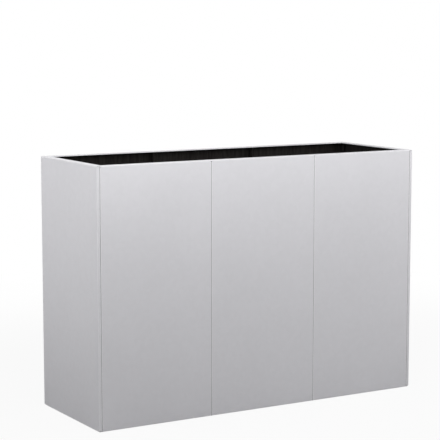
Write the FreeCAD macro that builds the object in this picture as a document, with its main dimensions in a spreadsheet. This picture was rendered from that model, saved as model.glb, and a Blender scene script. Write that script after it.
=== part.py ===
import FreeCAD, Part
import math
import os

import Sketcher

# Galvanised steel planter: a long trough of folded sheet panels, bolted together at seam flanges
# All lengths are in millimetres
# X runs along the length, Y from the front to the back and Z up
# The origin is the middle of the underside

SIZES = {
    # The trough
    "panel_pitch": 380.0,
    "planter_depth": 400.0,
    "planter_height": 800.0,
    "corner_return": 10.0,
    # The folded sheet
    "sheet_gauge": 1.0,
    "inner_bend": 1.0,
    "seam_flange": 25.0,
    "rim_flange": 25.0,
    "bottom_ledge": 25.0,
    "hem_return": 8.0,
    "hem_gap": 1.0,
    "rim_gap": 0.25,
    "ledge_gap": 0.5,
    "flange_relief": 1.0,
    # The floor trays
    "tray_height": 15.0,
    "tray_clearance": 1.0,
    "tray_notch": 3.0,
    "drain_hole_radius": 6.0,
    "drain_end_distance": 90.0,
    "drain_side_distance": 100.0,
    # The tie bars
    "tie_thickness": 3.0,
    "tie_width": 30.0,
    "tie_end_gap": 2.0,
    # The seam fasteners
    "bolt_inset": 14.0,
    "bolt_end_distance": 100.0,
    "bolt_hole_radius": 3.3,
    "bolt_radius": 3.0,
    "bolt_head_flats": 10.0,
    "bolt_head_height": 4.0,
    "corner_bolt_length": 8.0,
    "seam_bolt_length": 12.0,
    "nut_flats": 11.0,
    "nut_height": 5.0,
    "nut_bore_radius": 3.05,
    # How far a cut runs past what it cuts
    "overrun": 5.0,
}

PANELS_PER_SIDE = 3
ROWS = ("foot", "lower", "upper")
TIED_ROWS = ("lower", "upper")
DRAINS_ALONG = 2
DRAINS_ACROSS = 2
HEXAGON_SIDES = 6
ROUND_SIDES = 12
BAYS = {"left": -1, "centre": 0, "right": 1}
SIDES = {"left": -1, "right": 1}
FACES = {"front": 1, "back": -1}
HALF_TURN = FreeCAD.Rotation(FreeCAD.Vector(0, 0, 1), 180)
TOUCH_TOLERANCE = 1e-6

# The numbers that constraints use for the points of a sketched element and for the origin
START, END, CENTRE = 1, 2, 3
ORIGIN = (-1, START)


class Size:
    """A length that knows its value and the expression that ties it to the sheet of sizes."""

    def __init__(self, value, text=None):
        self.value = float(value)
        self.text = text or str(value)

    def __add__(self, other):
        other = as_size(other)
        return Size(self.value + other.value, f"({self.text} + {other.text})")

    def __sub__(self, other):
        other = as_size(other)
        return Size(self.value - other.value, f"({self.text} - {other.text})")

    def __mul__(self, factor):
        factor = as_size(factor)
        return Size(self.value * factor.value, f"({self.text} * {factor.text})")

    def __truediv__(self, divisor):
        divisor = as_size(divisor)
        return Size(self.value / divisor.value, f"({self.text} / {divisor.text})")

    def __neg__(self):
        return Size(-self.value, f"(0 - {self.text})")

    def __radd__(self, other):
        return self + other

    def __rmul__(self, other):
        return self * other


def as_size(value):
    return value if isinstance(value, Size) else Size(value)


# The document and its sheet of sizes

doc = FreeCAD.newDocument("Planter")
sheet = doc.addObject("Spreadsheet::Sheet", "Sizes")
for row, (name, value) in enumerate(SIZES.items(), start=1):
    sheet.set(f"A{row}", name)
    sheet.set(f"B{row}", str(value))
    sheet.setAlias(f"B{row}", name)
doc.recompute()

size = {name: Size(value, f"Sizes.{name}") for name, value in SIZES.items()}

pitch = size["panel_pitch"]
depth = size["planter_depth"]
height = size["planter_height"]
corner_return = size["corner_return"]
gauge = size["sheet_gauge"]
inner_bend = size["inner_bend"]
seam_flange = size["seam_flange"]
rim_flange = size["rim_flange"]
bottom_ledge = size["bottom_ledge"]
rim_gap = size["rim_gap"]
overrun = size["overrun"]

# Lengths that follow from the driving ones

length = PANELS_PER_SIDE * pitch + 2 * corner_return
half_length = length / 2
half_depth = depth / 2
half_pitch = pitch / 2
outer_bend = inner_bend + gauge
hem_inner = size["hem_gap"] / 2
hem_outer = hem_inner + gauge
rim_underside = height - 2 * hem_outer
bend_top = height - outer_bend
flange_top = rim_underside - size["flange_relief"]
mitre_slope = (rim_flange - corner_return) / rim_flange
row_pitch = (height - 2 * size["bolt_end_distance"]) / (len(ROWS) - 1)
bolt_from_middle = half_depth - size["bolt_inset"]


def row_height(row):
    """Height of a row of seam bolts above the ground."""
    return size["bolt_end_distance"] + row_pitch * ROWS.index(row)


# Drawing helpers


def origin_feature(body, role):
    for feature in body.Origin.OriginFeatures:
        if feature.Role == role:
            return feature
    raise ValueError(f"no {role} in {body.Label}")


def new_body(label):
    body = doc.addObject("PartDesign::Body", label)
    body.Label = label
    body.AllowCompound = True
    return body


def bind(item, prop, length_value):
    item.setExpression(prop, as_size(length_value).text)


def new_sketch(body, name, role, offset=0):
    """An empty sketch on one of the body's origin planes, moved along the plane's normal."""
    sketch = body.newObject("Sketcher::SketchObject", name)
    sketch.AttachmentSupport = (origin_feature(body, role), "")
    sketch.MapMode = "FlatFace"
    bind(sketch, "AttachmentOffset.Base.z", offset)
    return sketch


def pins(element, point, u, v=None):
    """Constraints that hold one point of an element at its distances from the sketch's origin."""
    held = [(Sketcher.Constraint("DistanceX", *ORIGIN, element, point, u.value), u.text)]
    if v is not None:
        held.append((Sketcher.Constraint("DistanceY", *ORIGIN, element, point, v.value), v.text))
    return held


def hold(sketch, constraints):
    """Add constraints in one step and tie each one that has an expression to the sheet."""
    numbers = sketch.addConstraint([constraint for constraint, _ in constraints])
    for number, (_, text) in zip(numbers, constraints):
        if text:
            sketch.setExpression(f"Constraints[{number}]", text)


def direction(start, end):
    """The steps of -1, 0 or 1 along the two axes that lead from one corner to the next."""
    du = end[0].value - start[0].value
    dv = end[1].value - start[1].value
    return (
        int(math.copysign(1, du)) if abs(du) > TOUCH_TOLERANCE else 0,
        int(math.copysign(1, dv)) if abs(dv) > TOUCH_TOLERANCE else 0,
    )


def draw_outline(sketch, corners):
    """A closed outline through corners (u, v), with a bend at each corner (u, v, radius).

    Only right-angled corners take a radius.
    """
    corners = [tuple(as_size(part) for part in corner) for corner in corners]
    count = len(corners)
    entries, exits, centres = [], [], []
    for index, corner in enumerate(corners):
        u, v, *bend = corner
        if not bend:
            entries.append((u, v))
            exits.append((u, v))
            centres.append(None)
            continue
        radius = bend[0]
        into = direction(corners[index - 1], corner)
        away = direction(corner, corners[(index + 1) % count])
        entries.append((u - radius * into[0], v - radius * into[1]))
        exits.append((u + radius * away[0], v + radius * away[1]))
        centres.append(
            (u + radius * (away[0] - into[0]), v + radius * (away[1] - into[1]), radius)
        )
    elements, constraints = [], []
    for index in range(count):
        if centres[index]:
            elements.append(
                draw_bend(sketch, constraints, entries[index], exits[index], centres[index])
            )
        start, end = exits[index], entries[(index + 1) % count]
        if direction(start, end) != (0, 0):
            elements.append(draw_side(sketch, constraints, start, end))
    for index, (element, _, end_point) in enumerate(elements):
        following, next_start, _ = elements[(index + 1) % len(elements)]
        joint = Sketcher.Constraint("Coincident", element, end_point, following, next_start)
        constraints.append((joint, None))
    hold(sketch, constraints)


def draw_side(sketch, constraints, start, end):
    """A straight side, pinned at its start; the next element's start holds its end."""
    line = Part.LineSegment(
        FreeCAD.Vector(start[0].value, start[1].value, 0),
        FreeCAD.Vector(end[0].value, end[1].value, 0),
    )
    element = sketch.addGeometry(line, False)
    constraints.extend(pins(element, START, *start))
    return element, START, END


def draw_bend(sketch, constraints, start, end, centre):
    """A quarter bend, pinned at its start and along one axis at its centre."""
    middle_u, middle_v, radius = centre
    start_angle = math.atan2(start[1].value - middle_v.value, start[0].value - middle_u.value)
    end_angle = math.atan2(end[1].value - middle_v.value, end[0].value - middle_u.value)
    turn = (end_angle - start_angle) % (2 * math.pi)
    circle = Part.Circle(
        FreeCAD.Vector(middle_u.value, middle_v.value, 0), FreeCAD.Vector(0, 0, 1), radius.value
    )
    if turn < math.pi:
        arc = Part.ArcOfCircle(circle, start_angle, end_angle)
        first, last = START, END
    else:
        arc = Part.ArcOfCircle(circle, end_angle, start_angle)
        first, last = END, START
    element = sketch.addGeometry(arc, False)
    constraints.extend(pins(element, first, *start))
    constraints.extend(pins(element, CENTRE, middle_u))
    return element, first, last


def draw_hole(sketch, u, v, radius):
    circle = Part.Circle(
        FreeCAD.Vector(u.value, v.value, 0), FreeCAD.Vector(0, 0, 1), radius.value
    )
    element = sketch.addGeometry(circle, False)
    girth = Sketcher.Constraint("Radius", element, radius.value)
    hold(sketch, pins(element, CENTRE, u, v) + [(girth, radius.text)])


def draw_polygon(sketch, u, v, radius, sides):
    """A regular polygon round a centre, from the radius through its corners."""
    step = 2 * math.pi / sides
    draw_outline(
        sketch,
        [
            (u + radius * math.cos(step * corner), v + radius * math.sin(step * corner))
            for corner in range(sides)
        ],
    )


def hexagon_radius(flats):
    """From the width across a hexagon's flats to the radius through its corners."""
    return flats / 2 / math.cos(math.pi / HEXAGON_SIDES)


def pad(body, name, sketch, run, both_ways=False, backwards=False):
    feature = body.newObject("PartDesign::Pad", name)
    feature.Profile = sketch
    feature.SideType = "Symmetric" if both_ways else "One side"
    feature.Reversed = backwards
    bind(feature, "Length", run)
    return feature


def pocket(body, name, sketch, run, both_ways=False):
    """A cut that has to take material away, or the model stops."""
    doc.recompute()
    before = body.Shape.Volume
    feature = body.newObject("PartDesign::Pocket", name)
    feature.Profile = sketch
    feature.SideType = "Symmetric" if both_ways else "One side"
    bind(feature, "Length", run)
    doc.recompute()
    if feature.Shape.Volume >= before:
        raise RuntimeError(f"{name} in {body.Label} cuts nothing")
    return feature


def repeat(body, name, kind, features, **settings):
    """A pattern or mirror of features, which becomes the body's tip."""
    feature = body.newObject(f"PartDesign::{kind}", name)
    feature.Originals = features
    for prop, value in settings.items():
        setattr(feature, prop, value)
    body.Tip = feature
    return feature


def repeat_rows(body, features, count=len(ROWS)):
    """Repeat features upwards, at the pitch of the rows of seam bolts."""
    pattern = repeat(
        body,
        "rows",
        "LinearPattern",
        features,
        Direction=(origin_feature(body, "Z_Axis"), [""]),
        Occurrences=count,
    )
    bind(pattern, "Length", row_pitch * (count - 1))


def place(body, x, y, turned=False):
    if turned:
        body.Placement = FreeCAD.Placement(FreeCAD.Vector(), HALF_TURN)
    bind(body, "Placement.Base.x", x)
    bind(body, "Placement.Base.y", y)


# Folded edges that every panel has, drawn with u running inwards from the outer face


def rim_corners():
    """The bend at the top, the rim flange and the open hem that makes its edge safe."""
    return [
        (0, bend_top),
        (0, height, outer_bend),
        (rim_flange, height, hem_outer),
        (rim_flange, rim_underside, hem_outer),
        (rim_flange - size["hem_return"], rim_underside),
        (rim_flange - size["hem_return"], rim_underside + gauge),
        (rim_flange - gauge, rim_underside + gauge, hem_inner),
        (rim_flange - gauge, height - gauge, hem_inner),
        (gauge, height - gauge, inner_bend),
        (gauge, bend_top),
    ]


def ledge_corners():
    """The bend at the bottom and the ledge that stands on the ground."""
    return [
        (0, outer_bend),
        (0, 0, outer_bend),
        (bottom_ledge, 0),
        (bottom_ledge, gauge),
        (gauge, gauge, inner_bend),
        (gauge, outer_bend),
    ]


# Long-side panels, drawn with the outer face at y = 0 and the seams at both ends of x


def mitre_edge(distance_inwards):
    """How far the rim's mitre stands from the corner seam at a distance inwards from the face."""
    return rim_gap + mitre_slope * distance_inwards


def cut_rim_mitre(body, side):
    """Cut one end of the rim aslant, where it meets the rim of an end panel."""
    sketch = new_sketch(body, "mitre_outline", "XY_Plane", height)
    outside = side * (half_pitch + overrun)
    far = rim_flange + overrun
    draw_outline(
        sketch,
        [
            (outside, -overrun),
            (side * (half_pitch - mitre_edge(-overrun)), -overrun),
            (side * (half_pitch - mitre_edge(far)), far),
            (outside, far),
        ],
    )
    pocket(body, "rim_mitre", sketch, 2 * hem_outer + overrun)


def long_panel(label, bay, face):
    """One folded panel of a long side, with a rim mitre where the bay is at an end."""
    body = new_body(label)

    rim_sketch = new_sketch(body, "rim_profile", "YZ_Plane")
    draw_outline(rim_sketch, rim_corners())
    pad(body, "rim", rim_sketch, pitch - 2 * rim_gap, both_ways=True)
    if bay:
        cut_rim_mitre(body, bay * face)

    web_sketch = new_sketch(body, "web_profile", "YZ_Plane")
    draw_outline(
        web_sketch,
        [(0, outer_bend), (0, bend_top), (gauge, bend_top), (gauge, outer_bend)],
    )
    pad(body, "web", web_sketch, pitch - 2 * outer_bend, both_ways=True)

    ledge_sketch = new_sketch(body, "ledge_profile", "YZ_Plane")
    draw_outline(ledge_sketch, ledge_corners())
    pad(body, "ledge", ledge_sketch, pitch - 2 * outer_bend, both_ways=True)

    flange_sketch = new_sketch(body, "flange_profile", "XY_Plane", outer_bend)
    draw_outline(
        flange_sketch,
        [
            (half_pitch - outer_bend, 0),
            (half_pitch, 0, outer_bend),
            (half_pitch, seam_flange),
            (half_pitch - gauge, seam_flange),
            (half_pitch - gauge, gauge, inner_bend),
            (half_pitch - outer_bend, gauge),
        ],
    )
    flange = pad(body, "seam_flange", flange_sketch, flange_top - outer_bend)
    repeat(
        body,
        "both_flanges",
        "Mirrored",
        [flange],
        MirrorPlane=(origin_feature(body, "YZ_Plane"), [""]),
    )

    hole_sketch = new_sketch(body, "bolt_hole_outline", "YZ_Plane")
    draw_polygon(
        hole_sketch, size["bolt_inset"], row_height(ROWS[0]), size["bolt_hole_radius"], ROUND_SIDES
    )
    hole = pocket(body, "bolt_hole", hole_sketch, pitch + overrun, both_ways=True)
    repeat_rows(body, [hole])
    place(body, bay * pitch, -face * half_depth, turned=face < 0)
    return body


# End panels, drawn with the outer face at x = 0 and the width along y


def end_rim_cuts(side):
    """Outlines that cut the rim to its mitre and round its outer corner, at one end of the width."""
    edge = corner_return - rim_gap
    far = rim_flange + overrun
    corner = side * half_depth
    beyond = side * (half_depth + overrun)
    mitre = [
        (edge - mitre_slope * overrun, beyond),
        (edge + mitre_slope * far, beyond),
        (edge + mitre_slope * far, side * (half_depth - far)),
    ]
    rounding = [
        (-overrun, beyond),
        (outer_bend, beyond),
        (outer_bend, corner),
        (0, corner, outer_bend),
        (0, side * (half_depth - outer_bend)),
        (-overrun, side * (half_depth - outer_bend)),
    ]
    return mitre, rounding


def end_panel(label, side):
    """One folded end panel: it wraps round both corners and turns in again at the corner seams."""
    body = new_body(label)

    rim_sketch = new_sketch(body, "rim_profile", "XZ_Plane")
    draw_outline(rim_sketch, rim_corners())
    pad(body, "rim", rim_sketch, depth, both_ways=True)
    cut_sketch = new_sketch(body, "mitre_outline", "XY_Plane", height)
    for end in (-1, 1):
        for cut in end_rim_cuts(end):
            draw_outline(cut_sketch, cut)
    pocket(body, "rim_mitres", cut_sketch, 2 * hem_outer + overrun)

    lip_end = half_depth - seam_flange
    wrap_sketch = new_sketch(body, "wrap_profile", "XY_Plane", outer_bend)
    draw_outline(
        wrap_sketch,
        [
            (corner_return, lip_end),
            (corner_return, half_depth, outer_bend),
            (0, half_depth, outer_bend),
            (0, -half_depth, outer_bend),
            (corner_return, -half_depth, outer_bend),
            (corner_return, -lip_end),
            (corner_return - gauge, -lip_end),
            (corner_return - gauge, gauge - half_depth, inner_bend),
            (gauge, gauge - half_depth, inner_bend),
            (gauge, half_depth - gauge, inner_bend),
            (corner_return - gauge, half_depth - gauge, inner_bend),
            (corner_return - gauge, lip_end),
        ],
    )
    pad(body, "wrap", wrap_sketch, bend_top - outer_bend)

    ledge_sketch = new_sketch(body, "ledge_profile", "XZ_Plane")
    draw_outline(ledge_sketch, ledge_corners())
    ledge_width = depth - 2 * (bottom_ledge + size["ledge_gap"])
    pad(body, "ledge", ledge_sketch, ledge_width, both_ways=True)

    hole_sketch = new_sketch(body, "bolt_hole_outline", "YZ_Plane", corner_return - gauge / 2)
    for end in (-1, 1):
        draw_polygon(
            hole_sketch,
            end * bolt_from_middle,
            row_height(ROWS[0]),
            size["bolt_hole_radius"],
            ROUND_SIDES,
        )
    holes = pocket(body, "bolt_holes", hole_sketch, 2 * gauge, both_ways=True)
    repeat_rows(body, [holes])
    place(body, side * half_length, 0, turned=side > 0)
    return body


# Floor trays: inverted pans that rest on the ledges, between the seam flanges


def edges_where(shape, test):
    """Names of a shape's edges that pass a test."""
    return [f"Edge{number}" for number, edge in enumerate(shape.Edges, start=1) if test(edge)]


def faces_where(shape, test):
    """Names of a shape's faces that pass a test."""
    return [f"Face{number}" for number, face in enumerate(shape.Faces, start=1) if test(face)]


def at_height(piece, level):
    """Whether an edge or a face lies level at a height."""
    box = piece.BoundBox
    return max(abs(box.ZMin - level), abs(box.ZMax - level)) < TOUCH_TOLERANCE


def floor_tray(label, bay):
    body = new_body(label)
    half_along = half_pitch - gauge - size["tray_clearance"]
    half_across = half_depth - gauge - size["tray_clearance"]
    top = gauge + size["tray_height"]

    plan = new_sketch(body, "plan", "XY_Plane", gauge)
    draw_outline(
        plan,
        [
            (-half_along, -half_across),
            (half_along, -half_across),
            (half_along, half_across),
            (-half_along, half_across),
        ],
    )
    block = pad(body, "block", plan, size["tray_height"])
    doc.recompute()

    bends = body.newObject("PartDesign::Fillet", "bends")
    bends.Base = (block, edges_where(block.Shape, lambda edge: at_height(edge, top.value)))
    bind(bends, "Radius", outer_bend)
    doc.recompute()

    shell = body.newObject("PartDesign::Thickness", "shell")
    shell.Base = (bends, faces_where(bends.Shape, lambda face: at_height(face, gauge.value)))
    shell.Reversed = True
    bind(shell, "Value", gauge)

    notch = size["tray_notch"]
    notch_sketch = new_sketch(body, "notch_outline", "XY_Plane", top + overrun)
    for along in (-1, 1):
        for across in (-1, 1):
            near_u, far_u = along * (half_along - notch), along * (half_along + overrun)
            near_v, far_v = across * (half_across - notch), across * (half_across + overrun)
            draw_outline(
                notch_sketch,
                [(near_u, near_v), (far_u, near_v), (far_u, far_v), (near_u, far_v)],
            )
    pocket(body, "corner_notches", notch_sketch, size["tray_height"] + 2 * overrun)

    first_u = half_along - size["drain_end_distance"]
    first_v = half_across - size["drain_side_distance"]
    drain_sketch = new_sketch(body, "drain_outline", "XY_Plane", top)
    draw_hole(drain_sketch, -first_u, -first_v, size["drain_hole_radius"])
    drain = pocket(body, "drain_hole", drain_sketch, gauge)
    drains = repeat(
        body,
        "drain_holes",
        "LinearPattern",
        [drain],
        Direction=(origin_feature(body, "X_Axis"), [""]),
        Occurrences=DRAINS_ALONG,
        Direction2=(origin_feature(body, "Y_Axis"), [""]),
        Occurrences2=DRAINS_ACROSS,
    )
    bind(drains, "Length", 2 * first_u)
    bind(drains, "Length2", 2 * first_v)
    place(body, bay * pitch, 0)
    return body


# Tie bars: flat bars between the front and back seams, which keep the long sides from bulging


def tie_bar(label, side, row):
    """A bar that lies against the seam flanges of the centre panels, drawn at its seam's x = 0."""
    body = new_body(label)
    half_span = half_depth - gauge - size["tie_end_gap"]
    half_width = size["tie_width"] / 2
    middle = row_height(row)
    sketch = new_sketch(body, "outline", "YZ_Plane", gauge)
    draw_outline(
        sketch,
        [
            (-half_span, middle - half_width),
            (half_span, middle - half_width),
            (half_span, middle + half_width),
            (-half_span, middle + half_width),
        ],
    )
    for end in (-1, 1):
        draw_polygon(
            sketch, end * bolt_from_middle, middle, size["bolt_hole_radius"], ROUND_SIDES
        )
    pad(body, "bar", sketch, size["tie_thickness"])
    place(body, side * half_pitch, 0, turned=side > 0)
    return body


# Seam fasteners, drawn at their seam's x = 0 with the bolt heads on its +x side
# They are many and small, so their round parts and holes are polygons whose corners line up


def fastener_centre(side, face):
    """Where a seam's fasteners stand across the planter, before their body is turned."""
    return side * face * bolt_from_middle


def add_bolts(body, name, rows, seat, across, shank_length):
    """Hexagon heads on a seat, one in each row, and the shanks that go through it."""
    centre = (across, row_height(rows[0]))
    head_outline = new_sketch(body, f"{name}_head_outline", "YZ_Plane", seat)
    draw_polygon(head_outline, *centre, hexagon_radius(size["bolt_head_flats"]), HEXAGON_SIDES)
    head = pad(body, f"{name}_head", head_outline, size["bolt_head_height"])
    shank_outline = new_sketch(body, f"{name}_shank_outline", "YZ_Plane", seat)
    draw_polygon(shank_outline, *centre, size["bolt_radius"], ROUND_SIDES)
    shank = pad(body, f"{name}_shank", shank_outline, shank_length, backwards=True)
    if len(rows) > 1:
        repeat_rows(body, [head, shank], len(rows))


def seam_bolts(label, seam_x, side, face, shank_length, holds_ties):
    """The bolts of one seam; those that also clamp a tie bar have their heads on the bar."""
    body = new_body(label)
    across = fastener_centre(side, face)
    plain_rows = [row for row in ROWS if not holds_ties or row not in TIED_ROWS]
    add_bolts(body, "seam", plain_rows, gauge, across, shank_length)
    if holds_ties:
        on_bar = gauge + size["tie_thickness"]
        add_bolts(body, "tie", TIED_ROWS, on_bar, across, shank_length)
    place(body, side * seam_x, 0, turned=side > 0)
    return body


def seam_nuts(label, seam_x, side, face):
    """The weld nuts of one seam, on the side away from the bolt heads."""
    body = new_body(label)
    centre = (fastener_centre(side, face), row_height(ROWS[0]))
    outline = new_sketch(body, "nut_outline", "YZ_Plane", -gauge)
    draw_polygon(outline, *centre, hexagon_radius(size["nut_flats"]), HEXAGON_SIDES)
    draw_polygon(outline, *centre, size["nut_bore_radius"], ROUND_SIDES)
    nut = pad(body, "nut", outline, size["nut_height"], backwards=True)
    repeat_rows(body, [nut])
    place(body, side * seam_x, 0, turned=side > 0)
    return body


# The whole planter

corner_seam = half_length - corner_return
nodes = []
for side_name, side in SIDES.items():
    nodes.append(end_panel(f"end_panel_{side_name}", side))
for face_name, face in FACES.items():
    for bay_name, bay in BAYS.items():
        nodes.append(long_panel(f"{face_name}_panel_{bay_name}", bay, face))
for bay_name, bay in BAYS.items():
    nodes.append(floor_tray(f"floor_tray_{bay_name}", bay))
for side_name, side in SIDES.items():
    for row in TIED_ROWS:
        nodes.append(tie_bar(f"tie_bar_{side_name}_{row}", side, row))
for face_name, face in FACES.items():
    for side_name, side in SIDES.items():
        nodes.append(
            seam_bolts(
                f"{face_name}_bolts_corner_{side_name}",
                corner_seam,
                side,
                face,
                size["corner_bolt_length"],
                False,
            )
        )
        nodes.append(
            seam_bolts(
                f"{face_name}_bolts_{side_name}",
                half_pitch,
                side,
                face,
                size["seam_bolt_length"],
                True,
            )
        )
        nodes.append(seam_nuts(f"{face_name}_nuts_corner_{side_name}", corner_seam, side, face))
        nodes.append(seam_nuts(f"{face_name}_nuts_{side_name}", half_pitch, side, face))
doc.recompute()

# Check the whole document before anything is written

for item in doc.Objects:
    if "Invalid" in item.State or "Error" in item.State:
        raise RuntimeError(f"{item.Label} failed: {item.State}")
for body in nodes:
    if body.Shape.isNull() or not body.Shape.isValid():
        raise RuntimeError(f"{body.Label} has no valid shape")

os.makedirs("parts", exist_ok=True)
for body in nodes:
    box = body.Shape.BoundBox
    print(
        f"{body.Label}: {len(body.Shape.Solids)} solid(s), {body.Shape.Volume:.1f} mm3, "
        f"x {box.XMin:.2f} to {box.XMax:.2f}, y {box.YMin:.2f} to {box.YMax:.2f}, "
        f"z {box.ZMin:.2f} to {box.ZMax:.2f}"
    )
    body.Shape.exportStep(f"parts/{body.Label}.step")
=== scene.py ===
"""Looks of a long, tall planter, folded from galvanised steel sheet and bolted together at its seams."""
import logging
import math
from dataclasses import dataclass
from enum import Enum
from functools import cache
from typing import Iterable, Sequence

import bpy
import numpy as np
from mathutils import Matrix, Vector


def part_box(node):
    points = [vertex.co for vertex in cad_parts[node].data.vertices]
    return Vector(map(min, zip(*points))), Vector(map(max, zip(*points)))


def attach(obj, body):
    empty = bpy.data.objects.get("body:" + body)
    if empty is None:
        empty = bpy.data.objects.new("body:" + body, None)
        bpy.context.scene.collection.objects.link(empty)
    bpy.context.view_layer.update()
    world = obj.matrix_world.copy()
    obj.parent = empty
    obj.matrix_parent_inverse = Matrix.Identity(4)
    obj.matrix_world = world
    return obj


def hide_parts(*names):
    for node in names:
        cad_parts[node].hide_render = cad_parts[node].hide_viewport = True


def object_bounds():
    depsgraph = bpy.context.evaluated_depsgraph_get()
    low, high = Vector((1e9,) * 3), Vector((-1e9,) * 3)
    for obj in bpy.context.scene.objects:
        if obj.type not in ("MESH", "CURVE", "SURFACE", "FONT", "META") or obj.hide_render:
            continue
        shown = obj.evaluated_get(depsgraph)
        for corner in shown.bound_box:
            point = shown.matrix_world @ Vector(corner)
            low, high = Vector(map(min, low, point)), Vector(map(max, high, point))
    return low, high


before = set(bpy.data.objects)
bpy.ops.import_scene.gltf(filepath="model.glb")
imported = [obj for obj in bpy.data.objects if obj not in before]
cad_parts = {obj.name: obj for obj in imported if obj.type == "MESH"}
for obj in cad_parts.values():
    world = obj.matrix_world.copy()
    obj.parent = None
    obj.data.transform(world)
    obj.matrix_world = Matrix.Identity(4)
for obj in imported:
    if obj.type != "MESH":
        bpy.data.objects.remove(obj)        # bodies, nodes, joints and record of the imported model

CAD_BOX: tuple[Vector, Vector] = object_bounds()
BODY = "root"
MILLIMETRE = 0.001
SHARP_ANGLE = math.radians(35.0)
HEXAGON_STEP = math.radians(60.0)
OPAQUE = 1.0

# Places of a Mix node's colour sockets, whose names its other sockets share
COLOUR_MIX_INPUTS = (6, 7)
COLOUR_MIX_RESULT = 2

BAYS = ("left", "centre", "right")
ENDS = ("left", "right")
LEVELS = ("lower", "upper")
FACES = ("front", "back")
END_PANELS = tuple(f"end_panel_{end}" for end in ENDS)
LONG_PANELS = tuple(f"{face}_panel_{bay}" for face in FACES for bay in BAYS)
TRAYS = tuple(f"floor_tray_{bay}" for bay in BAYS)
TIE_BARS = tuple(f"tie_bar_{end}_{level}" for end in ENDS for level in LEVELS)

Colour = tuple[float, float, float]
Place = tuple[float, float, float]
Feed = bpy.types.NodeSocket | float | Sequence[float]

log = logging.getLogger("planter")


class Slot(Enum):
    """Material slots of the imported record."""

    SHEET = "galvanised_sheet"
    TRAY = "galvanised_tray"
    BAR = "galvanised_bar"
    FASTENER = "zinc_plated_fastener"


class Seam(Enum):
    """The seams of one long face from left to right, each with the way its bolts point along X."""

    CORNER_LEFT = ("corner_left", -1)
    LEFT = ("left", -1)
    RIGHT = ("right", 1)
    CORNER_RIGHT = ("corner_right", 1)

    @property
    def word(self) -> str:
        """The word that ends the names of the seam's nodes."""
        return self.value[0]

    @property
    def way(self) -> int:
        """The sign of X that the shanks point to."""
        return self.value[1]


# Shader trees

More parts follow.
